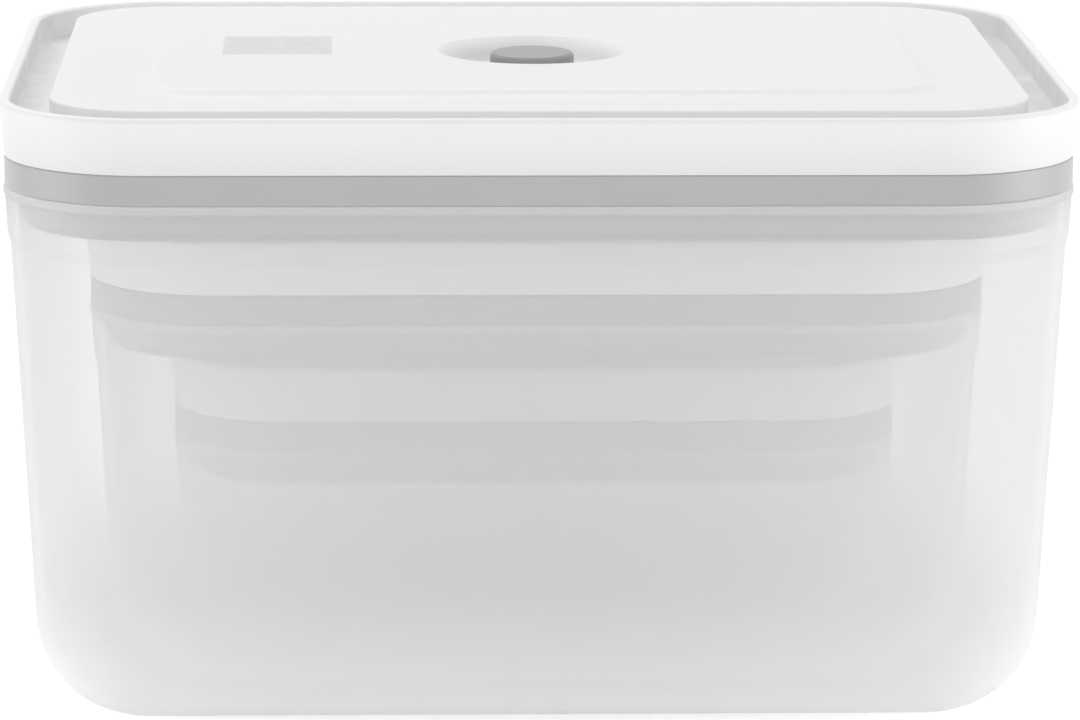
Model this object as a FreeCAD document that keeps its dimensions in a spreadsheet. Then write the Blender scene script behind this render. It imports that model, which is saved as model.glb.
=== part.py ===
import FreeCAD, Part
import math
import os
import Sketcher

# A nest of three rectangular vacuum canisters of one make: large, medium and small.
# Millimetres, +Z up, +X along the length, and the front faces -Y.
# The origin is the centre of the large box's foot, on the surface that it stands on.

# Driving dimensions: name, value and meaning
DIMENSIONS = (
    ("rim_length", 217.3, "length of the large box over its rim bead"),
    ("rim_width", 163.3, "width of the large box over its rim bead"),
    ("box_height", 111.0, "height of the large box from its foot to its rim"),
    ("corner_radius", 29.5, "corner of the large box's rim in plan"),
    ("corner_step", 3.0, "how much smaller the next box's corner is"),
    ("draft_angle", 2.9, "lean of the box walls in degrees"),
    ("wall", 2.0, "box wall"),
    ("floor_wall", 2.4, "box floor"),
    ("bead_proud", 0.3, "how far the rim bead stands out from the collar"),
    ("bead_height", 1.4, "height of the rim bead"),
    ("rim_round", 0.5, "edge of the rim bead"),
    ("collar_proud", 0.4, "how far the collar stands out from the wall"),
    ("collar_height", 9.6, "height of the collar below the rim"),
    ("collar_slope", 2.4, "height of the collar's sloping lower edge"),
    ("base_round", 21.0, "round between wall and base"),
    ("base_lift", 2.7, "how far the base rises from the foot to the wall, without the round"),
    ("round_margin", 0.2, "least straight length between foot and round"),
    ("foot_width", 4.0, "width of the ring that the box stands on"),
    ("foot_height", 0.8, "height of that ring"),
    ("foot_corner", 1.0, "outer corner of that ring in plan"),
    ("hollow_corner", 6.0, "inner corner of that ring in plan"),
    ("nest_gap", 12.4, "gap between a box's wall and the rim of the box inside it"),
    ("medium_head_gap", 2.0, "gap between the large lid's flange and the top of the medium lid"),
    ("small_head_gap", 4.5, "gap between the medium lid's flange and the top of the small lid"),
    ("skirt_height", 11.4, "height of the lid's skirt"),
    ("skirt_wall", 2.2, "wall of the lid's skirt at its lower edge"),
    ("skirt_inset", 0.25, "how far the skirt's lower edge lies inside the rim bead"),
    ("skirt_lean", 1.1, "how far the lid's top edge stands out over that edge"),
    ("lid_rim", 2.4, "width of the lid's rim"),
    ("lid_wall", 1.6, "wall of the lid's panel, riser and channel"),
    ("edge_round", 1.0, "round along the lid's rim"),
    ("panel_round", 0.4, "round along the edge of the lid's panel"),
    ("channel_width", 8.0, "width of the channel round the lid's panel"),
    ("channel_depth", 6.0, "depth of that channel"),
    ("channel_round", 0.8, "round along the floor of that channel"),
    ("plateau_inset", 17.9, "from the panel's edge to the foot of the plateau"),
    ("plateau_slope", 2.0, "width of the plateau's sloping edge"),
    ("plateau_rise", 1.3, "height of the plateau above the panel"),
    ("plateau_corner", 12.0, "corner of the plateau's foot in plan"),
    ("plateau_margin", 5.0, "least distance from the dish to the foot of the plateau"),
    ("plateau_gap", 0.5, "least distance from the foot of the plateau to the round along the panel"),
    ("plateau_round", 1.5, "round along the edges of the plateau"),
    ("groove_width", 4.6, "width of the gasket's groove between skirt and plug wall"),
    ("plug_wall", 1.8, "wall that reaches down inside the gasket"),
    ("flange_reach", 2.4, "how far the flange under the gasket stands out from the plug wall"),
    ("flange_wall", 1.2, "thickness of that flange"),
    ("band_height", 6.35, "height of the gasket's band between skirt and rim"),
    ("band_round", 0.5, "edges of that band"),
    ("lip_depth", 6.45, "how far the gasket reaches down inside the box"),
    ("lip_round", 1.0, "lower edge of the gasket's lip"),
    ("waist_depth", 2.0, "hollow in the gasket's side that faces the plug wall"),
    ("waist_land", 2.5, "height of the gasket above and below that hollow"),
    ("seal_gap", 0.35, "gap between the gasket's lip and the box wall"),
    ("gasket_gap", 0.15, "gap between the gasket and the sides of its groove"),
    ("dish_diameter", 40.0, "dish round the valve, at the plateau"),
    ("dish_depth", 5.0, "depth of that dish"),
    ("dish_floor", 28.0, "floor of that dish, without its round"),
    ("dish_round", 8.0, "round along that floor"),
    ("dish_edge", 0.6, "round along the edge of that dish"),
    ("button_diameter", 17.8, "valve button"),
    ("button_drop", 0.4, "how far the button's top lies below the plateau"),
    ("button_round", 1.2, "edge of the button's top"),
    ("button_lip", 1.2, "width of the ring that the button seals with"),
    ("button_hollow", 1.2, "depth of the hollow under the button"),
    ("stem_diameter", 4.0, "valve stem"),
    ("stem_gap", 0.3, "gap round the stem in the lid"),
    ("bulb_diameter", 6.6, "bulb that keeps the stem in the lid"),
    ("bulb_tip", 3.0, "lower end of that bulb"),
    ("bulb_height", 2.6, "height of that bulb"),
    ("valve_travel", 2.0, "how far the valve lifts"),
    ("valve_gap", 0.3, "gap left over the bulb when the valve is up"),
    ("vent_diameter", 1.6, "air holes under the button"),
    ("vent_circle", 10.0, "circle that the air holes lie on"),
    ("vent_count", 4, "number of air holes"),
)

# Sizes that every canister works out in the same way, before its own size is known
SHARED = (
    ("slope", "tan(dims.draft_angle * 1 deg)"),
    ("shoulder", "dims.bead_proud + dims.collar_proud"),
    ("lid_stack", "dims.skirt_height + dims.band_height"),
    ("plug_depth", "dims.lip_depth + dims.flange_wall"),
)

# The large canister's own size
LARGE = (
    ("level", "0"),
    ("box_height", "dims.box_height"),
    ("rim_half_length", "dims.rim_length / 2"),
    ("rim_half_width", "dims.rim_width / 2"),
    ("corner_radius", "dims.corner_radius"),
)

# A smaller canister's size: it stands on the floor of the outer one and clears its wall and lid
NESTED = (
    ("level", "{outer}.level + dims.floor_wall"),
    ("headroom", "{outer}.box_height - {outer}.plug_depth - dims.floor_wall - dims.{name}_head_gap"),
    ("box_height", "headroom - lid_stack"),
    ("wall_lean", "({outer}.box_height - dims.floor_wall - box_height) * slope"),
    ("rim_half_length", "{outer}.mouth_x - wall_lean - dims.nest_gap"),
    ("rim_half_width", "{outer}.mouth_y - wall_lean - dims.nest_gap"),
    ("corner_radius", "{outer}.corner_radius - dims.corner_step"),
)

# Places in the box, measured from the centre of its foot
BOX = (
    ("foot_z", "0"),
    ("foot_corner", "dims.foot_corner"),
    ("foot_x", "rim_half_length - corner_radius + foot_corner"),
    ("foot_y", "rim_half_width - corner_radius + foot_corner"),
    ("hollow_x", "foot_x - dims.foot_width"),
    ("hollow_y", "foot_y - dims.foot_width"),
    ("hollow_corner", "dims.hollow_corner"),
    ("rim_round", "min(dims.rim_round; dims.bead_height / 2)"),
    ("bead_z", "box_height - dims.bead_height"),
    ("collar_top_x", "rim_half_length - dims.bead_proud"),
    ("collar_top_z", "bead_z - dims.bead_proud"),
    ("collar_low_z", "box_height - dims.collar_height"),
    ("collar_low_x", "collar_top_x - (collar_top_z - collar_low_z) * slope"),
    ("wall_x", "rim_half_length - shoulder"),
    ("wall_z", "collar_low_z - dims.collar_slope"),
    ("wall_top_x", "wall_x - (box_height - wall_z) * slope"),
    ("base_z", "dims.base_lift"),
    ("base_x", "wall_x - (box_height - base_z) * slope"),
    ("base_rise", "base_z / (base_x - foot_x)"),
    ("mouth_x", "wall_x - dims.wall"),
    ("mouth_y", "rim_half_width - shoulder - dims.wall"),
    ("floor_z", "dims.floor_wall"),
    ("floor_drop", "box_height - floor_z + base_rise * foot_x"),
    ("floor_x", "(mouth_x - floor_drop * slope) / (1 - base_rise * slope)"),
    ("floor_edge_z", "floor_z + base_rise * (floor_x - foot_x)"),
    ("floor_reach", "hypot(floor_x - foot_x; floor_edge_z - floor_z)"),
    ("round_angle", "90 + dims.draft_angle + atan(base_rise) / 1 deg"),
    ("round_most", "(floor_reach - dims.round_margin) * tan(round_angle / 2 * 1 deg)"),
    ("floor_round", "min(dims.base_round - dims.wall; round_most)"),
    ("base_round", "floor_round + dims.wall"),
)

# Places in the lid and its gasket, measured from the centre of the rim's top
LID = (
    ("lid_level", "level + box_height + lid_stack"),
    ("valve_level", "lid_level + dims.plateau_rise - dims.dish_depth"),
    ("top_z", "0"),
    ("edge_round", "min(dims.edge_round; dims.lid_rim * 0.45)"),
    ("skirt_x", "rim_half_length - dims.skirt_inset"),
    ("skirt_z", "-dims.skirt_height"),
    ("skirt_inner_x", "skirt_x - dims.skirt_wall"),
    ("rim_x", "skirt_x + dims.skirt_lean"),
    ("rim_inner_x", "rim_x - dims.lid_rim"),
    ("channel_z", "-dims.channel_depth"),
    ("channel_x", "rim_inner_x - dims.channel_width"),
    ("channel_round", "min(dims.channel_round; dims.channel_width * 0.45)"),
    ("ceiling_z", "channel_z - dims.lid_wall"),
    ("riser_x", "channel_x - dims.lid_wall"),
    ("panel_least", "channel_x - rim_half_length + min(rim_half_length; rim_half_width)"),
    ("plug_x", "skirt_inner_x - dims.groove_width"),
    ("plug_inner_x", "plug_x - dims.plug_wall"),
    ("flange_x", "plug_x + dims.flange_reach"),
    ("flange_top_z", "-lid_stack - dims.lip_depth"),
    ("flange_z", "flange_top_z - dims.flange_wall"),
    ("panel_inset", "rim_half_length - channel_x + dims.lid_wall / 2"),
    ("panel_under_z", "-dims.lid_wall"),
    ("panel_round", "dims.panel_round"),
    ("panel_half_length", "rim_half_length - panel_inset"),
    ("panel_half_width", "rim_half_width - panel_inset"),
    ("panel_corner", "corner_radius - panel_inset"),
    ("plateau_most", "panel_least - panel_round - dims.plateau_gap"),
    ("dish_x", "min(dims.dish_diameter / 2; plateau_most - dims.plateau_margin)"),
    ("plateau_least", "dish_x + dims.plateau_margin"),
    ("plateau_inset", "rim_half_length - channel_x + dims.plateau_inset"),
    ("plateau_half_length", "max(rim_half_length - plateau_inset; plateau_least)"),
    ("plateau_half_width", "max(rim_half_width - plateau_inset; plateau_least)"),
    ("plateau_corner", "dims.plateau_corner"),
    ("plateau_z", "dims.plateau_rise"),
    ("plateau_round", "dims.plateau_round"),
    ("crest_half_length", "plateau_half_length - dims.plateau_slope"),
    ("crest_half_width", "plateau_half_width - dims.plateau_slope"),
    ("crest_corner", "plateau_corner - dims.plateau_slope"),
    ("axis_x", "0"),
    ("dish_floor_x", "dish_x - (dims.dish_diameter - dims.dish_floor) / 2"),
    ("dish_floor_z", "plateau_z - dims.dish_depth"),
    ("dish_round", "dims.dish_round"),
    ("dish_edge", "dims.dish_edge"),
    ("boss_z", "-dims.lid_wall / 2"),
    ("boss_x", "dish_floor_x + dims.lid_wall"),
    ("boss_low_z", "dish_floor_z - dims.lid_wall"),
    ("stem_hole", "dims.stem_diameter / 2 + dims.stem_gap"),
    ("vent_hole", "dims.vent_diameter / 2"),
    ("vent_x", "dims.vent_circle / 2"),
    ("seat_z", "-lid_stack"),
    ("band_round", "min(dims.band_round; dims.band_height * 0.45)"),
    ("tongue_x", "skirt_inner_x - dims.gasket_gap"),
    ("tongue_inner_x", "plug_x + dims.gasket_gap"),
    ("waist_x", "tongue_inner_x + dims.waist_depth"),
    ("waist_z", "ceiling_z - dims.waist_land"),
    ("waist_low_z", "flange_top_z + dims.waist_land"),
    ("lip_x", "mouth_x - dims.seal_gap"),
    ("lip_low_x", "lip_x - dims.lip_depth * slope"),
    ("lip_round", "min(dims.lip_round; dims.lip_depth * 0.45)"),
)

# Places in the valve, the same in every canister, measured from the floor of the lid's dish
VALVE = (
    ("axis_x", "0"),
    ("seat_z", "0"),
    ("button_x", "dims.button_diameter / 2"),
    ("button_z", "dims.dish_depth - dims.button_drop"),
    ("button_round", "dims.button_round"),
    ("button_lip_x", "button_x - dims.button_lip"),
    ("hollow_z", "dims.button_hollow"),
    ("stem_x", "dims.stem_diameter / 2"),
    ("bulb_x", "dims.bulb_diameter / 2"),
    ("bulb_z", "-dims.lid_wall - dims.valve_travel - dims.valve_gap"),
    ("bulb_tip_x", "dims.bulb_tip / 2"),
    ("bulb_low_z", "bulb_z - dims.bulb_height"),
)

SAME_PLACE = 1e-4
START_POINT, END_POINT, CENTRE_POINT = range(1, 4)
X_AXIS, Y_AXIS = range(-1, -3, -1)
ORIGIN = (X_AXIS, START_POINT)

doc = FreeCAD.newDocument("vacuum_canister_nest")


def write_dimensions():
    """Put the driving dimensions into the sheet, one row each."""
    sheet = doc.addObject("Spreadsheet::Sheet", "dims")
    for row, (name, value, meaning) in enumerate(DIMENSIONS, start=1):
        sheet.set(f"A{row}", meaning)
        sheet.set(f"B{row}", str(value))
        sheet.setAlias(f"B{row}", name)
    doc.recompute()


def work_out(name, formulas):
    """Make a set of named values, each bound to its formula."""
    values = doc.addObject("App::VarSet", name)
    for key, formula in formulas:
        values.addProperty("App::PropertyFloat", key)
        values.setExpression(key, formula)
        doc.recompute()
    return values


def canister_sizes(name, outer):
    """Work out one canister's sizes; outer names the canister that it stands in."""
    own = LARGE
    if outer:
        own = [(key, formula.format(name=name, outer=outer)) for key, formula in NESTED]
    return work_out(name, (*SHARED, *own, *BOX, *LID))


def new_body(label, values, level):
    """Start a sub-part whose own frame stands at the named level."""
    body = doc.addObject("PartDesign::Body", label)
    body.Label = label
    body.setExpression("Placement.Base.z", f"{values.Name}.{level}")
    return body


def new_sketch(body, name, role, values=None, height=None):
    """Start a sketch on one of the body's own planes, raised to the named height."""
    sketch = body.newObject("Sketcher::SketchObject", name)
    plane = next(item for item in body.Origin.OriginFeatures if item.Role == role)
    sketch.AttachmentSupport = [(plane, "")]
    sketch.MapMode = "FlatFace"
    if height:
        sketch.setExpression("AttachmentOffset.Base.z", f"{values.Name}.{height}")
    return sketch


def bind(sketch, values, key, *constraint):
    """Add a sized constraint and bind it to a named value."""
    index = sketch.addConstraint(Sketcher.Constraint(*constraint, getattr(values, key)))
    sketch.setExpression(f"Constraints[{index}]", f"{values.Name}.{key}")


def relate(sketch, *constraint):
    """Add a constraint that has no size."""
    sketch.addConstraint(Sketcher.Constraint(*constraint))


def rounded_rectangle(body, name, values, half_length, half_width, corner, height):
    """Sketch a centred rectangle with round corners, its sizes given by name."""
    sketch = new_sketch(body, name, "XY_Plane", values, height)
    x = getattr(values, half_length)
    y = getattr(values, half_width)
    radius = getattr(values, corner)
    inner_x = x - radius
    inner_y = y - radius
    ends = (
        ((x, -inner_y), (x, inner_y)),
        ((inner_x, y), (-inner_x, y)),
        ((-x, inner_y), (-x, -inner_y)),
        ((-inner_x, -y), (inner_x, -y)),
    )
    centres = ((inner_x, inner_y), (-inner_x, inner_y), (-inner_x, -inner_y), (inner_x, -inner_y))
    quarter = math.pi / 2
    sides = []
    corners = []
    for index, (start, end) in enumerate(ends):
        side = Part.LineSegment(FreeCAD.Vector(*start), FreeCAD.Vector(*end))
        sides.append(sketch.addGeometry(side))
        ring = Part.Circle(FreeCAD.Vector(*centres[index]), FreeCAD.Vector(0, 0, 1), radius)
        arc = Part.ArcOfCircle(ring, index * quarter, (index + 1) * quarter)
        corners.append(sketch.addGeometry(arc))
    for index, arc in enumerate(corners):
        following = sides[(index + 1) % len(sides)]
        relate(sketch, "Tangent", sides[index], END_POINT, arc, START_POINT)
        relate(sketch, "Tangent", arc, END_POINT, following, START_POINT)
        if index:
            relate(sketch, "Equal", corners[0], arc)
    right, back, left, front = sides
    relate(sketch, "Symmetric", right, START_POINT, right, END_POINT, X_AXIS)
    relate(sketch, "Symmetric", back, START_POINT, back, END_POINT, Y_AXIS)
    relate(sketch, "Vertical", left)
    relate(sketch, "Horizontal", front)
    bind(sketch, values, half_length, "DistanceX", *ORIGIN, right, END_POINT)
    bind(sketch, values, half_width, "DistanceY", *ORIGIN, back, START_POINT)
    bind(sketch, values, corner, "Radius", corners[0])
    return sketch


def circle(body, name, values, radius, centre_x, height):
    """Sketch a circle on the X axis at the named distance from the centre."""
    sketch = new_sketch(body, name, "XY_Plane", values, height)
    centre = FreeCAD.Vector(getattr(values, centre_x), 0)
    ring = sketch.addGeometry(Part.Circle(centre, FreeCAD.Vector(0, 0, 1), getattr(values, radius)))
    relate(sketch, "PointOnObject", ring, CENTRE_POINT, X_AXIS)
    bind(sketch, values, centre_x, "DistanceX", *ORIGIN, ring, CENTRE_POINT)
    bind(sketch, values, radius, "Radius", ring)
    return sketch


def corner_arc(before, corner, after, radius):
    """Return the arc that rounds a corner, its two ends, and whether it runs backwards."""
    to_before = (before - corner).normalize()
    to_after = (after - corner).normalize()
    half_angle = to_before.getAngle(to_after) / 2
    setback = radius / math.tan(half_angle)
    start = corner + to_before * setback
    end = corner + to_after * setback
    middle = corner + (to_before + to_after).normalize() * (radius / math.sin(half_angle))
    backwards = to_before.cross(to_after).z > 0
    first, last = (end, start) if backwards else (start, end)
    first_angle = math.atan2(first.y - middle.y, first.x - middle.x)
    last_angle = math.atan2(last.y - middle.y, last.x - middle.x)
    ring = Part.Circle(middle, FreeCAD.Vector(0, 0, 1), radius)
    return Part.ArcOfCircle(ring, first_angle, last_angle), start, end, backwards


def outline(body, name, values, corners):
    """Sketch a closed outline in the XZ plane; each corner names its x, its z and perhaps a round."""
    sketch = new_sketch(body, name, "XZ_Plane")
    points = [FreeCAD.Vector(getattr(values, x), getattr(values, z)) for x, z, *_ in corners]
    count = len(corners)
    starts = list(points)
    ends = list(points)
    arcs = {}
    for index, (_, _, *rounds) in enumerate(corners):
        if rounds:
            before = points[index - 1]
            after = points[(index + 1) % count]
            radius = getattr(values, rounds[0])
            arc, ends[index], starts[index], backwards = corner_arc(before, points[index], after, radius)
            arcs[index] = (sketch.addGeometry(arc), backwards)
    sides = []
    for index in range(count):
        side = Part.LineSegment(starts[index], ends[(index + 1) % count])
        sides.append(sketch.addGeometry(side))
    for index, (x, z, *rounds) in enumerate(corners):
        incoming = sides[index - 1]
        outgoing = sides[index]
        if rounds:
            arc, backwards = arcs[index]
            first, last = (END_POINT, START_POINT) if backwards else (START_POINT, END_POINT)
            relate(sketch, "Tangent", incoming, END_POINT, arc, first)
            relate(sketch, "Tangent", arc, last, outgoing, START_POINT)
            bind(sketch, values, rounds[0], "Radius", arc)
            mark = sketch.addGeometry(Part.Point(points[index]), True)
            relate(sketch, "PointOnObject", mark, START_POINT, incoming)
            relate(sketch, "PointOnObject", mark, START_POINT, outgoing)
            place = (mark, START_POINT)
        else:
            relate(sketch, "Coincident", incoming, END_POINT, outgoing, START_POINT)
            place = (outgoing, START_POINT)
        bind(sketch, values, x, "DistanceX", *ORIGIN, *place)
        bind(sketch, values, z, "DistanceY", *ORIGIN, *place)
    return sketch


def feature(body, kind, name, bound=None, **settings):
    """Add a feature with its settings and bound sizes; one that cuts has to take something away."""
    volume = body.Shape.Volume if body.Tip else 0.0
    item = body.newObject(f"PartDesign::{kind}", name)
    for key, value in settings.items():
        setattr(item, key, value)
    for key, formula in (bound or {}).items():
        item.setExpression(key, formula)
    doc.recompute()
    if kind in ("Pocket", "Groove") and body.Shape.Volume > volume - SAME_PLACE:
        raise RuntimeError(f"{name} cuts nothing")
    return item


def turn(body, kind, name, sketch):
    """Add or cut a full turn of a sketch round the vertical axis."""
    return feature(body, kind, name, Profile=sketch, ReferenceAxis=(sketch, ["V_Axis"]), Angle=360.0)


def round_edges(body, name, values, radius, chosen):
    """Round the edges of the body's last feature that pass the test given."""
    base = body.Tip
    names = [f"Edge{i}" for i, edge in enumerate(base.Shape.Edges, start=1) if chosen(edge.BoundBox)]
    feature(body, "Fillet", name, {"Radius": f"{values.Name}.{radius}"}, Base=(base, names))


def level_edge(height, half_length, half_width, least=0.0):
    """Return a test for level edges at a height, none further out than the half sizes, all past the least."""
    def chosen(box):
        level = max(abs(box.ZMin - height), abs(box.ZMax - height)) < SAME_PLACE
        along, across = max(-box.XMin, box.XMax), max(-box.YMin, box.YMax)
        inside = along < half_length + SAME_PLACE and across < half_width + SAME_PLACE
        return level and inside and max(along, across) > least + SAME_PLACE
    return chosen


def make_box(name, values):
    """A drafted box with a round base, a collar, a rim bead and a foot ring."""
    body = new_body(f"{name}_box", values, "level")
    floor = rounded_rectangle(body, "floor", values, "foot_x", "foot_y", "foot_corner", "foot_z")
    feature(body, "Pad", "base", {"Length": "dims.floor_wall"}, Profile=floor)
    path = rounded_rectangle(
        body, "rim_path", values, "rim_half_length", "rim_half_width", "corner_radius", "box_height")
    section = outline(body, "wall_section", values, (
        ("mouth_x", "box_height"),
        ("rim_half_length", "box_height", "rim_round"),
        ("rim_half_length", "bead_z"),
        ("collar_top_x", "collar_top_z"),
        ("collar_low_x", "collar_low_z"),
        ("wall_top_x", "wall_z"),
        ("base_x", "base_z", "base_round"),
        ("foot_x", "foot_z"),
        ("foot_x", "floor_z"),
        ("floor_x", "floor_edge_z", "floor_round"),
    ))
    feature(body, "AdditivePipe", "wall", Profile=section, Spine=(path, []))
    hollow = rounded_rectangle(
        body, "foot_hollow", values, "hollow_x", "hollow_y", "hollow_corner", "foot_z")
    feature(body, "Pocket", "foot", {"Length": "dims.foot_height"}, Profile=hollow, Reversed=True)
    return body


def make_lid(name, values):
    """A lid with a rim, a channel, a panel with a plateau, a valve dish and a plug for the gasket."""
    body = new_body(f"{name}_lid", values, "lid_level")
    path = rounded_rectangle(
        body, "rim_path", values, "rim_half_length", "rim_half_width", "corner_radius", "top_z")
    section = outline(body, "rim_section", values, (
        ("rim_inner_x", "top_z", "edge_round"),
        ("rim_x", "top_z", "edge_round"),
        ("skirt_x", "skirt_z"),
        ("skirt_inner_x", "skirt_z"),
        ("skirt_inner_x", "ceiling_z"),
        ("plug_x", "ceiling_z"),
        ("plug_x", "flange_top_z"),
        ("flange_x", "flange_top_z"),
        ("flange_x", "flange_z"),
        ("plug_inner_x", "flange_z"),
        ("plug_inner_x", "ceiling_z"),
        ("riser_x", "ceiling_z"),
        ("riser_x", "top_z"),
        ("channel_x", "top_z", "panel_round"),
        ("channel_x", "channel_z", "channel_round"),
        ("rim_inner_x", "channel_z", "channel_round"),
    ))
    feature(body, "AdditivePipe", "rim", Profile=section, Spine=(path, []))

    panel = rounded_rectangle(
        body, "panel", values, "panel_half_length", "panel_half_width", "panel_corner", "panel_under_z")
    feature(body, "Pad", "plate", {"Length": "dims.lid_wall"}, Profile=panel)

    foot = rounded_rectangle(
        body, "plateau_foot", values,
        "plateau_half_length", "plateau_half_width", "plateau_corner", "top_z")
    crest = rounded_rectangle(
        body, "plateau_crest", values, "crest_half_length", "crest_half_width", "crest_corner", "plateau_z")
    feature(body, "AdditiveLoft", "plateau", Profile=foot, Sections=[(crest, "")], Ruled=True)

    boss = outline(body, "boss_section", values, (
        ("axis_x", "boss_z"),
        ("dish_x", "boss_z"),
        ("boss_x", "boss_low_z"),
        ("axis_x", "boss_low_z"),
    ))
    turn(body, "Revolution", "boss", boss)
    dish = outline(body, "dish_section", values, (
        ("axis_x", "plateau_z"),
        ("dish_x", "plateau_z"),
        ("dish_floor_x", "dish_floor_z", "dish_round"),
        ("axis_x", "dish_floor_z"),
    ))
    turn(body, "Groove", "dish", dish)
    on_crest = level_edge(values.plateau_z, values.crest_half_length, values.crest_half_width, values.dish_x)
    round_edges(body, "crest_round", values, "plateau_round", on_crest)
    on_dish = level_edge(values.plateau_z, values.dish_x, values.dish_x)
    round_edges(body, "dish_edge", values, "dish_edge", on_dish)
    at_foot = level_edge(values.top_z, values.plateau_half_length, values.plateau_half_width)
    round_edges(body, "foot_round", values, "plateau_round", at_foot)

    stem = circle(body, "stem_circle", values, "stem_hole", "axis_x", "dish_floor_z")
    feature(body, "Pocket", "stem_hole", Profile=stem, Type="ThroughAll")
    vent = circle(body, "vent_circle", values, "vent_hole", "vent_x", "dish_floor_z")
    vent_hole = feature(body, "Pocket", "vent_hole", Profile=vent, Type="ThroughAll")
    around = {"Occurrences": "dims.vent_count"}
    body.Tip = feature(
        body, "PolarPattern", "vents", around, Originals=[vent_hole], Axis=(vent, ["N_Axis"]), Angle=360.0)
    return body


def make_gasket(name, values):
    """An elastomer ring: a band under the skirt, a tongue in the groove and a lip in the mouth."""
    body = new_body(f"{name}_gasket", values, "lid_level")
    path = rounded_rectangle(
        body, "ring_path", values, "rim_half_length", "rim_half_width", "corner_radius", "seat_z")
    section = outline(body, "ring_section", values, (
        ("skirt_x", "skirt_z", "band_round"),
        ("tongue_x", "skirt_z"),
        ("tongue_x", "ceiling_z"),
        ("tongue_inner_x", "ceiling_z"),
        ("tongue_inner_x", "waist_z"),
        ("waist_x", "waist_z"),
        ("waist_x", "waist_low_z"),
        ("tongue_inner_x", "waist_low_z"),
        ("tongue_inner_x", "flange_top_z"),
        ("lip_low_x", "flange_top_z", "lip_round"),
        ("lip_x", "seat_z"),
        ("skirt_x", "seat_z", "band_round"),
    ))
    feature(body, "AdditivePipe", "ring", Profile=section, Spine=(path, []))
    return body


def make_valve(name, values, valve):
    """An elastomer umbrella valve: a button with a sealing ring, a stem and a bulb."""
    body = new_body(f"{name}_valve", values, "valve_level")
    section = outline(body, "section", valve, (
        ("axis_x", "button_z"),
        ("button_x", "button_z", "button_round"),
        ("button_x", "seat_z"),
        ("button_lip_x", "seat_z"),
        ("stem_x", "hollow_z"),
        ("stem_x", "bulb_z"),
        ("bulb_x", "bulb_z"),
        ("bulb_tip_x", "bulb_low_z"),
        ("axis_x", "bulb_low_z"),
    ))
    turn(body, "Revolution", "umbrella", section)
    return body


def check_document(pieces):
    """Stop if an object failed or a piece isn't one valid solid."""
    doc.recompute()
    for item in doc.Objects:
        if {"Invalid", "Error"} & set(item.State):
            raise RuntimeError(f"{item.Label} failed: {item.State}")
    for piece in pieces:
        shape = piece.Shape
        if shape.isNull() or not shape.isValid() or len(shape.Solids) != 1:
            raise RuntimeError(f"{piece.Label} is not one valid solid")


def main():
    """Build the three canisters and write one file for each piece."""
    write_dimensions()
    valve = work_out("valve", VALVE)
    pieces = []
    outer = None
    for name in ("large", "medium", "small"):
        values = canister_sizes(name, outer)
        pieces.append(make_box(name, values))
        pieces.append(make_lid(name, values))
        pieces.append(make_gasket(name, values))
        pieces.append(make_valve(name, values, valve))
        outer = name
    check_document(pieces)
    os.makedirs("parts", exist_ok=True)
    for piece in pieces:
        piece.Shape.exportStep(f"parts/{piece.Label}.step")
        print(piece.Label, round(piece.Shape.Volume), piece.Shape.BoundBox)


main()
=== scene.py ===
"""Looks of a nest of three vacuum canisters: milky boxes, white lids, grey gaskets and valves."""

import math

import bmesh
import bpy
from bpy.props import FloatProperty, FloatVectorProperty, PointerProperty
from mathutils import Matrix, Vector


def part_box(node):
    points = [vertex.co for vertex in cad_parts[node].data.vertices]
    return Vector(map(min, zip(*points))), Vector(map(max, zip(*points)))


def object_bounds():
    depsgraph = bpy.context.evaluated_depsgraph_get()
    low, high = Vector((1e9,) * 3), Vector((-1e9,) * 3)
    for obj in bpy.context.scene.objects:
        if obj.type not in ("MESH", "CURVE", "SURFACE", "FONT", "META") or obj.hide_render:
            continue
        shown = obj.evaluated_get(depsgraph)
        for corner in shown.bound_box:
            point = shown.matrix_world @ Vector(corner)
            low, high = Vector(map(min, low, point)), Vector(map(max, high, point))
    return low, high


bl_info = {
    "name": "Vacuum canister nest",
    "version": (1, 0, 0),
    "blender": (4, 5, 0),
    "location": "View3D > Sidebar > Canisters",
    "description": "Finishes and studio for a nest of three vacuum canisters",
    "category": "Object",
}

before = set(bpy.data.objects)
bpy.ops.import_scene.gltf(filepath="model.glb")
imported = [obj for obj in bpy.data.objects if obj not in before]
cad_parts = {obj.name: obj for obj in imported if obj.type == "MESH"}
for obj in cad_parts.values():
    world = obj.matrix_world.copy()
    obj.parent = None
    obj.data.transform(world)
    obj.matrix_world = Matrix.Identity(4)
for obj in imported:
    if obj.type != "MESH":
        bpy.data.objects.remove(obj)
CAD_LOW, CAD_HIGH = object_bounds()
TIERS = ("large", "medium", "small")

# Lumps of the clouds in each plastic, in metres, and the shades that the clouds go between
BOX_CLOUD = 0.045
LID_CLOUD = 0.016
SILICONE_CLOUD = 0.02
PLASTIC_SHADES = (0.985, 1.01)
SILICONE_SHADES = (0.97, 1.03)

# Depth of the grain, in metres, and how far the roughness changes over it
GRAIN_DEPTH = 0.00002
PLASTIC_SPREAD = 0.12
SILICONE_SPREAD = 0.1
PLASTIC_IOR = 1.49
SILICONE_IOR = 1.5
GASKET_GLOSS = 1.0
VALVE_GLOSS = 0.5

# Boxes: where the bead below the rim and the thick base begin and are full, and what they change
BEAD_DEPTHS = (0.0020, 0.0012)
BASE_HEIGHTS = (0.034, 0.006)
BEAD_DULLS = 0.8
BASE_DULLS = 0.45
BASE_DIMS = 0.6
BASE_SHADE = 0.975
CLOUD_CLEARS = 0.06

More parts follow.
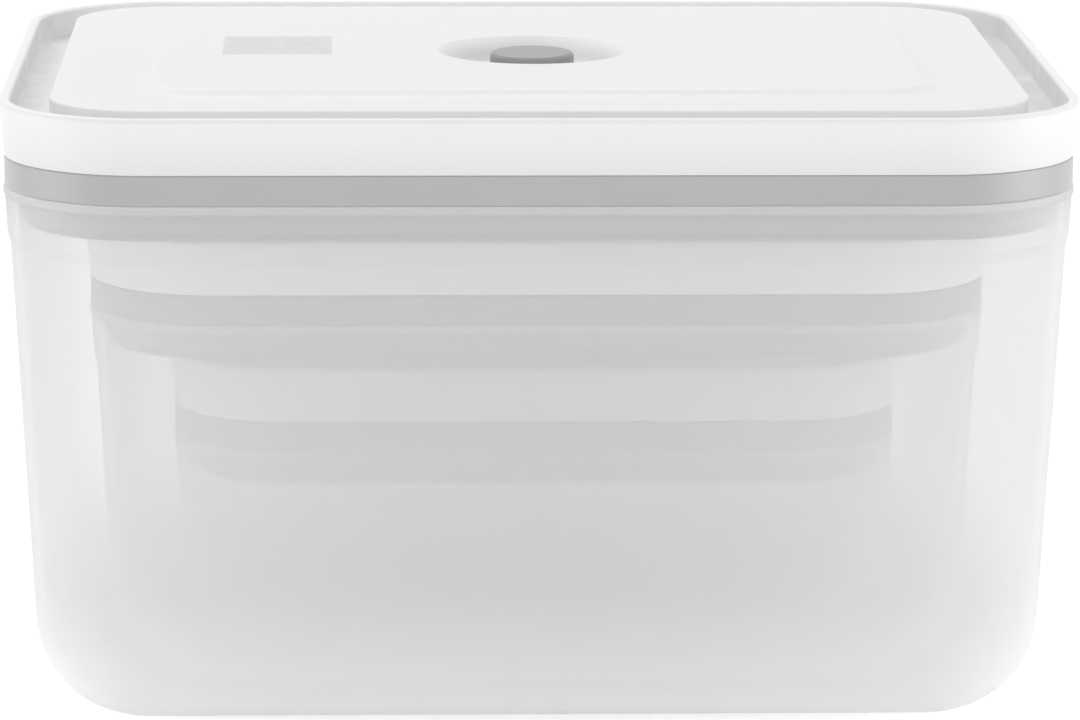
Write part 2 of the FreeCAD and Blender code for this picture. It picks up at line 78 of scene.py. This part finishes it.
# Lids: corner radius of the edge, then depths below the top and distances inside the edge; most of
# them place the painted shade in the channel and the dish and the painted shadow on the flange's
# edge
CORNERS = {"large": 0.03035, "medium": 0.02735, "small": 0.02435}
CHANNEL_DEPTHS = (0.0015, 0.0023)
CHANNEL_FLOOR = 0.0098
CHANNEL_REACH = (0.0104, 0.0045)
RIM_WIDTH = 0.0019
BLOTCH_SIZE = 0.008
BLOTCH_GAIN = 1.6
BLOTCH_LEAST = 0.1
FLANGE_HEIGHT = 0.00125
FLANGE_REACH = 0.0075
DISH_DEPTHS = (0.0004, 0.0035)
DISH_FLOOR = 0.0062
DISH_RADIUS = 0.0205
FIELD_DEPTH = 0.0002
FIELD_GAIN = 0.6
FIELD_LEAST = 0.2

# Gaskets: lower and upper end of the thin lip above the gasket's foot, which is painted lighter;
# the darker strip below it is a painted shadow line
LIP_HEIGHTS = (0.0009, 0.0063)

# Studio: lamps with their place, size and power, and the floor
LAMPS = (
    ("top", (-0.2, 0.8, 1.5), (1.4, 1.4), 13.0),
    ("front", (0.0, -2.4, 0.3), (1.2, 1.2), 5.6),
    ("left", (-1.5, -0.45, 0.14), (1.1, 0.26), 4.2),
    ("right", (1.5, -0.45, 0.14), (1.1, 0.26), 6.6),
)
FLOOR_DROP = 0.0001
FLOOR_WHITE = 0.4
SENSOR_WIDTH = 36.0


class Wire:
    """An output socket of a node tree; a sum on it adds Math nodes to that tree."""

    def __init__(self, finish, socket):
        self.finish = finish
        self.socket = socket

    def maths(self, operation, first, second):
        """Add one Math node on two numbers or wires."""
        return self.finish.node("ShaderNodeMath", {"operation": operation}, {0: first, 1: second})

    def __add__(self, other):
        return self.maths("ADD", self, other)

    def __radd__(self, other):
        return self.maths("ADD", other, self)

    def __sub__(self, other):
        return self.maths("SUBTRACT", self, other)

    def __rsub__(self, other):
        return self.maths("SUBTRACT", other, self)

    def __mul__(self, other):
        return self.maths("MULTIPLY", self, other)

    def __rmul__(self, other):
        return self.maths("MULTIPLY", other, self)

    def __rtruediv__(self, other):
        return self.maths("DIVIDE", other, self)

    def __pow__(self, other):
        return self.maths("POWER", self, other)

    def __gt__(self, other):
        return self.maths("GREATER_THAN", self, other)

    def __lt__(self, other):
        return self.maths("LESS_THAN", self, other)

    def __abs__(self):
        return self.maths("ABSOLUTE", self, 0.0)


class Finish:
    """The node tree of a material or a world in the making."""

    def __init__(self, owner):
        owner.use_nodes = True
        self.owner = owner
        self.tree = owner.node_tree
        self.tree.nodes.clear()

    def node(self, kind, settings=None, sockets=None, output=0):
        """Add a node, set it up, feed its sockets with values or wires and return one output."""
        node = self.tree.nodes.new(kind)
        for key, value in (settings or {}).items():
            setattr(node, key, value)
        for key, value in (sockets or {}).items():
            if isinstance(value, Wire):
                self.tree.links.new(value.socket, node.inputs[key])
            else:
                node.inputs[key].default_value = value
        return Wire(self, node.outputs[output]) if node.outputs else node

    def place(self):
        """The place on the object, in metres."""
        return self.node("ShaderNodeTexCoord", output="Object")

    def height(self, place):
        """The height of a place."""
        return self.node("ShaderNodeSeparateXYZ", sockets={0: place}, output="Z")

    def vector(self, operation, first, second=(0.0, 0.0, 0.0), output=0):
        """Add one Vector Math node."""
        settings = {"operation": operation}
        return self.node("ShaderNodeVectorMath", settings, {0: first, 1: second}, output)

    def plan(self, place):
        """A place without its height."""
        return self.vector("MULTIPLY", place, (1.0, 1.0, 0.0))

    def noise(self, place, size):
        """A cloudy value about one half, with lumps of the given size in metres."""
        sockets = {"Vector": place, "Scale": 1.0 / size, "Detail": 2.0}
        return self.node("ShaderNodeTexNoise", sockets=sockets)

    def tint(self, factor, first, second):
        """A colour between two others."""
        settings = {"data_type": "RGBA"}
        return self.node("ShaderNodeMix", settings, {0: factor, 6: first, 7: second}, output=2)

    def clouded(self, cloud, colour, shades):
        """A colour that a cloudy value makes a little darker or lighter."""
        darker, lighter = shades
        return self.tint(cloud, shade(colour, darker), shade(colour, lighter))

    def shader_mix(self, factor, first, second):
        """One shader over another."""
        return self.node("ShaderNodeMixShader", sockets={0: factor, 1: first, 2: second})

    def bump(self, height):
        """A normal that the grain's height, from 0 to 1, raises."""
        sockets = {"Strength": 1.0, "Distance": GRAIN_DEPTH, "Height": height}
        return self.node("ShaderNodeBump", sockets=sockets)

    def ramp(self, value, start, end):
        """A smooth step from nought at the start to one at the end."""
        settings = {"interpolation_type": "SMOOTHSTEP"}
        sockets = {"Value": value, "From Min": start, "From Max": end}
        return self.node("ShaderNodeMapRange", settings, sockets)

    def milky(self, look, colour, grain, clear, glow):
        """A skin that lets some view and light through; a wall's far face adds nothing."""
        slant = 1.0 - self.node("ShaderNodeLayerWeight", sockets={"Blend": 0.5}, output="Facing")
        clear = clear ** (1.0 / slant)
        skin = self.node("ShaderNodeBsdfPrincipled", sockets={
            "Base Color": colour,
            "Roughness": look.roughness - PLASTIC_SPREAD / 2 + grain * PLASTIC_SPREAD,
            "IOR": PLASTIC_IOR,
            "Normal": self.bump(grain),
        })
        scatter = self.node("ShaderNodeBsdfTranslucent", sockets={"Color": look.colour})
        body = self.shader_mix(glow, skin, scatter)
        far = self.node("ShaderNodeNewGeometry", output="Backfacing")
        window = self.node("ShaderNodeBsdfTransparent")
        return self.shader_mix(far + (1.0 - far) * clear, body, window)

    def rim_distance(self, place, tier):
        """How far a point lies outside the plan of a lid's edge; inside it is negative."""
        _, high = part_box(f"{tier}_lid")
        corner = CORNERS[tier]
        core = (high.x - corner, high.y - corner, 0.0)
        past = self.vector("SUBTRACT", self.vector("ABSOLUTE", self.plan(place)), core)
        past = self.vector("MAXIMUM", past)
        return self.vector("LENGTH", past, output="Value") - corner

    def show(self, surface):
        """End the tree with the surface that it shows."""
        is_world = isinstance(self.owner, bpy.types.World)
        kind = "ShaderNodeOutputWorld" if is_world else "ShaderNodeOutputMaterial"
        self.node(kind, sockets={"Surface": surface})
        return self.owner


def shade(colour, share):
    """A colour made darker or lighter by a share, with its alpha kept."""
    return (*(channel * share for channel in colour[:3]), 1.0)


def dress(node, material):
    """Give a CAD node its material."""
    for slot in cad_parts[node].material_slots:
        slot.material = material


class BoxPlastic(bpy.types.PropertyGroup):
    """Milky polypropylene of the boxes."""

    colour: FloatVectorProperty(
        name="Colour", description="Colour of the plastic in white light",
        subtype="COLOR", size=4, min=0.0, max=1.0, default=(0.985, 0.985, 0.985, 1.0))
    clear: FloatProperty(
        name="Clear", description="Share of what is behind a wall's surface that shows through it",
        subtype="FACTOR", min=0.0, max=1.0, default=0.41)
    inner_clear: FloatProperty(
        name="Inner clear", description="The same for the walls of the two smaller boxes",
        subtype="FACTOR", min=0.0, max=1.0, default=0.57)
    glow: FloatProperty(
        name="Glow", description="Share of the rest that is light scattered from behind",
        subtype="FACTOR", min=0.0, max=1.0, default=0.5)
    roughness: FloatProperty(
        name="Roughness", description="Roughness of the moulded skin",
        subtype="FACTOR", min=0.0, max=1.0, default=0.38)
    grain: FloatProperty(
        name="Grain", description="Size of the fine grain of the mould",
        unit="LENGTH", min=0.0001, default=0.0006)


class LidPlastic(bpy.types.PropertyGroup):
    """White satin plastic of the lids."""

    colour: FloatVectorProperty(
        name="Colour", description="Colour of the plastic in white light",
        subtype="COLOR", size=4, min=0.0, max=1.0, default=(0.89, 0.89, 0.89, 1.0))
    # Painted light: the two smaller lids, in shade deep in the nest, are the same plastic made
    # lighter than the large lid.
    inner_lit_colour: FloatVectorProperty(
        name="Inner colour", description="The same for the two smaller lids",
        subtype="COLOR", size=4, min=0.0, max=1.0, default=(0.98, 0.98, 0.98, 1.0))
    clear: FloatProperty(
        name="Clear", description="Share of what is behind a wall's surface that shows through it",
        subtype="FACTOR", min=0.0, max=1.0, default=0.02)
    channel_clear: FloatProperty(
        name="Channel", description="Further share that shows through the channel's thin floor",
        subtype="FACTOR", min=0.0, max=1.0, default=0.15)
    # Painted shade in the recessed dish round the valve, darkest at its floor.
    dish_shade: FloatVectorProperty(
        name="Dish colour", description="Colour of the thin floor of the dish",
        subtype="COLOR", size=4, min=0.0, max=1.0, default=(0.72, 0.72, 0.72, 1.0))
    # Painted shade in the deep channel by the rim, partly standing for the grey gasket seen
    # through its thin floor.
    channel_shade: FloatVectorProperty(
        name="Channel colour", description="Colour of the channel over the gasket",
        subtype="COLOR", size=4, min=0.0, max=1.0, default=(0.71, 0.71, 0.71, 1.0))
    # Painted shadow: a dark line on the flange's outer edge, where shade falls below the gasket.
    flange_shadow: FloatVectorProperty(
        name="Flange colour", description="Colour of the flange's edge, filmed over by the gasket",
        subtype="COLOR", size=4, min=0.0, max=1.0, default=(0.45, 0.45, 0.45, 1.0))
    glow: FloatProperty(
        name="Glow", description="Share of the rest that is light scattered from behind",
        subtype="FACTOR", min=0.0, max=1.0, default=0.12)
    roughness: FloatProperty(
        name="Roughness", description="Roughness of the satin skin",
        subtype="FACTOR", min=0.0, max=1.0, default=0.45)
    grain: FloatProperty(
        name="Grain", description="Size of the fine grain of the mould",
        unit="LENGTH", min=0.0001, default=0.0005)


class Patch(bpy.types.PropertyGroup):
    """Plain matt field to write on, on the large lid."""

    colour: FloatVectorProperty(
        name="Colour", description="Colour of the field",
        subtype="COLOR", size=4, min=0.0, max=1.0, default=(0.55, 0.55, 0.55, 1.0))
    offset: FloatProperty(
        name="Offset", description="From the lid's left edge to the middle of the field",
        unit="LENGTH", default=0.0555)
    shift: FloatProperty(
        name="Shift", description="From the lid's middle back to the middle of the field",
        unit="LENGTH", default=0.0055)
    length: FloatProperty(
        name="Length", description="Length of the field",
        unit="LENGTH", min=0.001, default=0.023)
    width: FloatProperty(
        name="Width", description="Width of the field",
        unit="LENGTH", min=0.001, default=0.0253)
    grain: FloatProperty(
        name="Grain", description="Size of the field's grain",
        unit="LENGTH", min=0.0001, default=0.0012)


class Silicone(bpy.types.PropertyGroup):
    """Grey silicone of the gaskets and valves."""

    gasket_colour: FloatVectorProperty(
        name="Gasket", description="Colour of the gaskets",
        subtype="COLOR", size=4, min=0.0, max=1.0, default=(0.415, 0.415, 0.417, 1.0))
    # Painted light: the lip is lighter than the rest of the same silicone, and the strip below it
    # keeps the darker gasket colour as a painted shadow line under the lip.
    lip_light: FloatVectorProperty(
        name="Lip", description="Colour of the gaskets' thin lip",
        subtype="COLOR", size=4, min=0.0, max=1.0, default=(0.48, 0.48, 0.482, 1.0))
    valve_colour: FloatVectorProperty(
        name="Valve", description="Colour of the valves",
        subtype="COLOR", size=4, min=0.0, max=1.0, default=(0.325, 0.325, 0.327, 1.0))
    roughness: FloatProperty(
        name="Roughness", description="Roughness of the silicone",
        subtype="FACTOR", min=0.0, max=1.0, default=0.4)
    grain: FloatProperty(
        name="Grain", description="Size of the fine grain of the silicone",
        unit="LENGTH", min=0.0001, default=0.0004)


class Studio(bpy.types.PropertyGroup):
    """Floor, lamps and camera."""

    floor_colour: FloatVectorProperty(
        name="Floor", description="Colour of the floor",
        subtype="COLOR", size=4, min=0.0, max=1.0, default=(0.95, 0.95, 0.95, 1.0))
    floor_size: FloatProperty(
        name="Floor size", description="Side of the square floor",
        unit="LENGTH", min=1.0, default=12.0)
    sky: FloatProperty(
        name="Sky", description="Strength of the even light from all sides",
        min=0.0, default=0.85)
    eye: FloatVectorProperty(
        name="Eye", description="Place of the camera",
        subtype="TRANSLATION", size=3, default=(-0.036577, -1.108195, 0.300037))
    pitch: FloatProperty(
        name="Pitch", description="How far the camera looks down",
        subtype="ANGLE", default=0.210883)
    yaw: FloatProperty(
        name="Yaw", description="How far the camera turns to the left",
        subtype="ANGLE", default=-0.034811)
    roll: FloatProperty(
        name="Roll", description="How far the camera leans",
        subtype="ANGLE", default=-0.004783)
    lens: FloatProperty(
        name="Lens", description="Focal length for a picture 36 mm wide",
        subtype="DISTANCE_CAMERA", min=1.0, default=176.111)


class CANISTER_OT_boxes(bpy.types.Operator):
    """Give the three boxes their milky plastic"""

    bl_idname = "canister.boxes"
    bl_label = "Boxes"

    def execute(self, context):
        look = context.scene.canister_box
        for tier in TIERS:
            low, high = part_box(f"{tier}_box")
            finish = Finish(bpy.data.materials.new(f"milky_{tier}_box_plastic"))
            place = finish.place()
            cloud = finish.noise(place, BOX_CLOUD)
            grain = finish.noise(place, look.grain)
            height = finish.height(place)
            bead = finish.ramp(height, *(high.z - depth for depth in BEAD_DEPTHS))
            base = finish.ramp(height, *(low.z + rise for rise in BASE_HEIGHTS))
            colour = finish.clouded(cloud, look.colour, PLASTIC_SHADES)
            # The colour is a little darker towards the foot.
            colour = finish.tint(base, colour, shade(look.colour, BASE_SHADE))
            clear = look.clear if tier == "large" else look.inner_clear
            clear = cloud * CLOUD_CLEARS + (clear - CLOUD_CLEARS / 2)
            clear = clear * (1.0 - bead * BEAD_DULLS) * (1.0 - base * BASE_DULLS)
            glow = look.glow * (1.0 - base * BASE_DIMS)
            dress(f"{tier}_box", finish.show(finish.milky(look, colour, grain, clear, glow)))
        return {"FINISHED"}


class CANISTER_OT_lids(bpy.types.Operator):
    """Give the three lids their white satin plastic"""

    bl_idname = "canister.lids"
    bl_label = "Lids"

    def execute(self, context):
        look = context.scene.canister_lid
        for tier in TIERS:
            finish = Finish(bpy.data.materials.new(f"white_{tier}_lid_plastic"))
            place = finish.place()
            cloud = finish.noise(place, LID_CLOUD)
            grain = finish.noise(place, look.grain)
            blotch = finish.noise(place, BLOTCH_SIZE) * BLOTCH_GAIN + BLOTCH_LEAST
            channel = self.channel(finish, place, tier) * blotch
            # Painted light: a lighter copy of the same plastic for the two smaller lids deep in
            # the nest.
            plain = look.colour if tier == "large" else look.inner_lit_colour
            colour = finish.clouded(cloud, plain, PLASTIC_SHADES)
            # Painted shade in the channel, partly the grey gasket seen through its thin floor.
            colour = finish.tint(channel, colour, look.channel_shade)
            # Painted shade in the dish, deepening towards its floor.
            colour = finish.tint(self.dish(finish, place, tier), colour, look.dish_shade)
            # Painted shadow on the flange's outer edge.
            colour = finish.tint(self.flange(finish, place, tier), colour, look.flange_shadow)
            if tier == "large":
                patch = context.scene.canister_patch
                field = self.field(finish, place, tier, patch)
                colour = finish.tint(field, colour, patch.colour)
            clear = look.clear + channel * look.channel_clear
            dress(f"{tier}_lid", finish.show(finish.milky(look, colour, grain, clear, look.glow)))
        return {"FINISHED"}

    def channel(self, finish, place, tier):
        """One deep in the channel by the rim, falling to nought by the panel; it places the
        painted shade there, partly standing for the gasket seen through the thin floor, and the
        further see-through.
        """
        _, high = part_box(f"{tier}_lid")
        distance = finish.rim_distance(place, tier)
        height = finish.height(place)
        deep = finish.ramp(height, *(high.z - depth for depth in CHANNEL_DEPTHS))
        deep = deep * (height > high.z - CHANNEL_FLOOR)
        near = finish.ramp(distance, *(-reach for reach in CHANNEL_REACH))
        return deep * near * (distance < -RIM_WIDTH)

    def flange(self, finish, place, tier):
        """One on the outer edge of the flange that carries the gasket, where a dark line of
        painted shadow goes.
        """
        low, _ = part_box(f"{tier}_lid")
        outer = finish.rim_distance(place, tier) > -FLANGE_REACH
        return (finish.height(place) < low.z + FLANGE_HEIGHT) * outer

    def dish(self, finish, place, tier):
        """Nought at the edge of the dish round the valve, one at its floor; it places the painted
        shade in the recess.
        """
        _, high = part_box(f"{tier}_lid")
        radius = finish.vector("LENGTH", finish.plan(place), output="Value")
        height = finish.height(place)
        deep = finish.ramp(height, *(high.z - depth for depth in DISH_DEPTHS))
        return deep * (height > high.z - DISH_FLOOR) * (radius < DISH_RADIUS)

    def field(self, finish, place, tier, patch):
        """About one half, grained, on the matt field of a lid's plateau, and nought elsewhere."""
        _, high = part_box(f"{tier}_lid")
        axes = finish.node("ShaderNodeSeparateXYZ", sockets={0: place}).socket.node.outputs
        x, y, z = (Wire(finish, axis) for axis in axes)
        along = abs(x - (patch.offset - high.x)) < patch.length / 2
        across = abs(y - patch.shift) < patch.width / 2
        inside = along * across * (z > high.z - FIELD_DEPTH)
        return inside * (finish.noise(place, patch.grain) * FIELD_GAIN + FIELD_LEAST)


class CANISTER_OT_seals(bpy.types.Operator):
    """Give the gaskets and valves their grey silicone"""

    bl_idname = "canister.seals"
    bl_label = "Gaskets and valves"

    def execute(self, context):
        look = context.scene.canister_silicone
        pieces = (
            ("gasket", look.gasket_colour, GASKET_GLOSS),
            ("valve", look.valve_colour, VALVE_GLOSS),
        )
        for tier in TIERS:
            for piece, colour, gloss in pieces:
                finish = Finish(bpy.data.materials.new(f"{tier}_{piece}_silicone"))
                place = finish.place()
                cloud = finish.noise(place, SILICONE_CLOUD)
                grain = finish.noise(place, look.grain)
                tone = finish.clouded(cloud, colour, SILICONE_SHADES)
                if piece == "gasket":
                    # Painted light on the lip, with the darker foot strip below it as a painted
                    # shadow line.
                    tone = finish.tint(self.lip(finish, place, tier), tone, look.lip_light)
                skin = finish.node("ShaderNodeBsdfPrincipled", sockets={
                    "Base Color": tone,
                    "Roughness": look.roughness - SILICONE_SPREAD / 2 + grain * SILICONE_SPREAD,
                    "IOR": SILICONE_IOR,
                    "Specular IOR Level": gloss,
                    "Normal": finish.bump(grain),
                })
                dress(f"{tier}_{piece}", finish.show(skin))
        return {"FINISHED"}

    def lip(self, finish, place, tier):
        """One on the thin lip that a gasket reaches down into the box with; the lip is painted
        lighter, and the strip below it, left darker, is a painted shadow line.
        """
        low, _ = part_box(f"{tier}_gasket")
        height = finish.height(place)
        foot, top = LIP_HEIGHTS
        return (height < low.z + top) * (height > low.z + foot)


class CANISTER_OT_studio(bpy.types.Operator):
    """Set up the floor, the soft lamps and the camera"""

    bl_idname = "canister.studio"
    bl_label = "Studio"

    def execute(self, context):
        look = context.scene.canister_studio
        self.lay_floor(context, look)
        self.light_world(context, look)
        self.hang_lamps(context)
        self.place_camera(context, look)
        context.scene.view_settings.view_transform = "Standard"
        context.scene.cycles.transparent_max_bounces = 48
        context.scene.cycles.max_bounces = 24
        context.scene.cycles.diffuse_bounces = 12
        context.scene.cycles.transmission_bounces = 24
        return {"FINISHED"}

    def seen(self, finish):
        """One for rays that show the background, nought for rays that light the object."""
        rays = finish.node("ShaderNodeLightPath").socket.node.outputs
        kinds = ("Camera", "Glossy", "Transmission", "Diffuse")
        straight, shiny, through, matt = (Wire(finish, rays[f"Is {kind} Ray"]) for kind in kinds)
        settings = {"operation": "ADD", "use_clamp": True}
        others = shiny + through * (1.0 - matt)
        return finish.node("ShaderNodeMath", settings, {0: straight, 1: others})

    def lay_floor(self, context, look):
        """Lay a square floor just under the foot."""
        mesh = bpy.data.meshes.new("floor")
        shape = bmesh.new()
        side = look.floor_size / 2
        just_below = Matrix.Translation((0.0, 0.0, -FLOOR_DROP))
        bmesh.ops.create_grid(shape, x_segments=1, y_segments=1, size=side, matrix=just_below)
        shape.to_mesh(mesh)
        shape.free()
        floor = bpy.data.objects.new("floor", mesh)
        context.scene.collection.objects.link(floor)
        finish = Finish(bpy.data.materials.new("studio_floor"))
        ground = finish.node("ShaderNodeBsdfDiffuse", sockets={"Color": look.floor_colour})
        white = self.seen(finish) * FLOOR_WHITE
        white = finish.node("ShaderNodeEmission", sockets={"Strength": white})
        surface = finish.node("ShaderNodeAddShader", sockets={0: ground, 1: white})
        mesh.materials.append(finish.show(surface))

    def light_world(self, context, look):
        """Light all sides evenly, before a white background."""
        world = bpy.data.worlds.new("studio")
        context.scene.world = world
        finish = Finish(world)
        seen = self.seen(finish)
        strength = seen + (1.0 - seen) * look.sky
        finish.show(finish.node("ShaderNodeBackground", sockets={"Strength": strength}))

    def hang_lamps(self, context):
        """Hang the soft lamps, turned to the middle of the nest."""
        middle = (CAD_LOW + CAD_HIGH) / 2
        for name, spot, size, power in LAMPS:
            lamp = bpy.data.lights.new(f"{name}_lamp", "AREA")
            lamp.shape = "RECTANGLE"
            lamp.size, lamp.size_y = size
            lamp.energy = power
            holder = bpy.data.objects.new(lamp.name, lamp)
            holder.location = spot
            holder.rotation_euler = (middle - Vector(spot)).to_track_quat("-Z", "Y").to_euler()
            context.scene.collection.objects.link(holder)

    def place_camera(self, context, look):
        """Set the camera up in front, looking a little down."""
        camera = bpy.data.cameras.new("camera")
        camera.sensor_width = SENSOR_WIDTH
        camera.lens = look.lens
        holder = bpy.data.objects.new("camera", camera)
        turned = Matrix.Rotation(look.yaw, 4, "Z") @ Matrix.Rotation(-look.pitch, 4, "X")
        turned = turned @ Matrix.Rotation(look.roll, 4, "Y") @ Matrix.Rotation(math.pi / 2, 4, "X")
        holder.matrix_world = Matrix.Translation(look.eye) @ turned
        context.scene.collection.objects.link(holder)
        context.scene.camera = holder


class CANISTER_PT_sidebar(bpy.types.Panel):
    """Lists the steps and their settings"""

    bl_idname = "CANISTER_PT_sidebar"
    bl_label = "Canisters"
    bl_space_type = "VIEW_3D"
    bl_region_type = "UI"
    bl_category = "Canisters"

    def draw(self, context):
        for group, operator in STEPS:
            box = self.layout.box()
            settings = getattr(context.scene, group)
            for key in settings.bl_rna.properties.keys():
                if key not in ("rna_type", "name"):
                    box.prop(settings, key)
            box.operator(operator)


SETTINGS = {
    "canister_box": BoxPlastic,
    "canister_lid": LidPlastic,
    "canister_patch": Patch,
    "canister_silicone": Silicone,
    "canister_studio": Studio,
}
OPERATORS = (CANISTER_OT_boxes, CANISTER_OT_lids, CANISTER_OT_seals, CANISTER_OT_studio)
STEPS = (
    ("canister_box", "canister.boxes"),
    ("canister_lid", "canister.lids"),
    ("canister_patch", "canister.lids"),
    ("canister_silicone", "canister.seals"),
    ("canister_studio", "canister.studio"),
)
CLASSES = (*SETTINGS.values(), *OPERATORS, CANISTER_PT_sidebar)


def register():
    for item in CLASSES:
        bpy.utils.register_class(item)
    for name, group in SETTINGS.items():
        setattr(bpy.types.Scene, name, PointerProperty(type=group))


def unregister():
    for name in SETTINGS:
        delattr(bpy.types.Scene, name)
    for item in reversed(CLASSES):
        bpy.utils.unregister_class(item)


def main():
    register()
    bpy.ops.canister.boxes()
    bpy.ops.canister.lids()
    bpy.ops.canister.seals()
    bpy.ops.canister.studio()


if __name__ == "__main__":
    main()
